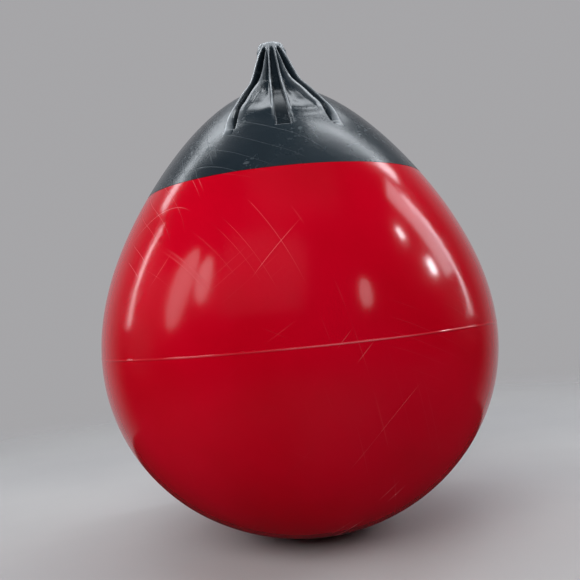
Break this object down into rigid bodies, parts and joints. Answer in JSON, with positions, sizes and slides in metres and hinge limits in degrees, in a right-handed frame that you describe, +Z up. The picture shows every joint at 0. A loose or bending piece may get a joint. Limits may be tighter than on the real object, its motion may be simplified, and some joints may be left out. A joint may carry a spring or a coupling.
{
  "type": "inflatable mooring buoy",
  "caption": "Teardrop inflatable mooring buoy: glossy red vinyl float, black ribbed rope hold with a cross eye, and a screw-plug air valve with a check disc.",
  "frame": {"origin": "middle of the small flat at the base of the float", "axes": "+Z up the buoy's axis to the rope hold, +X along the bore of the rope eye, the air valve on the +Y side"},
  "size_m": [0.3944, 0.3944, 0.5],
  "materials": {
    "red_vinyl": "glossy, finely scratched",
    "black_vinyl": "glossy, finely scratched",
    "grey_nylon": "moulded",
    "white_nylon": "moulded",
    "seal_rubber": "matt"
  },
  "bodies": {
    "buoy": {"body_shell": "red_vinyl", "rope_hold": "black_vinyl", "valve_body": "grey_nylon", "valve_gasket": "seal_rubber", "check_cage": "white_nylon"},
    "plug_travel": {"screw_o_ring": "seal_rubber"},
    "plug": {"valve_screw": "white_nylon"},
    "disc": {"check_disc": "seal_rubber"}
  },
  "joints": [
    {"name": "plug_lift", "type": "slide", "parent": "buoy", "child": "plug_travel", "axis": [0, 0.7927, 0.6096], "range_m": [0, 0.009]},
    {"name": "plug_turn", "type": "hinge", "parent": "plug_travel", "child": "plug", "pos_m": [0, 0.12511, 0.3655], "axis": [0, 0.7927, 0.6096], "range_deg": [0, 1620]},
    {"name": "disc_lift", "type": "slide", "parent": "buoy", "child": "disc", "axis": [0, -0.7927, -0.6096], "range_m": [0, 0.0015]}
  ],
  "couplings": [
    {"joint": "plug_turn", "follows": "plug_lift", "rad_per_m": 3141.6}
  ]
}
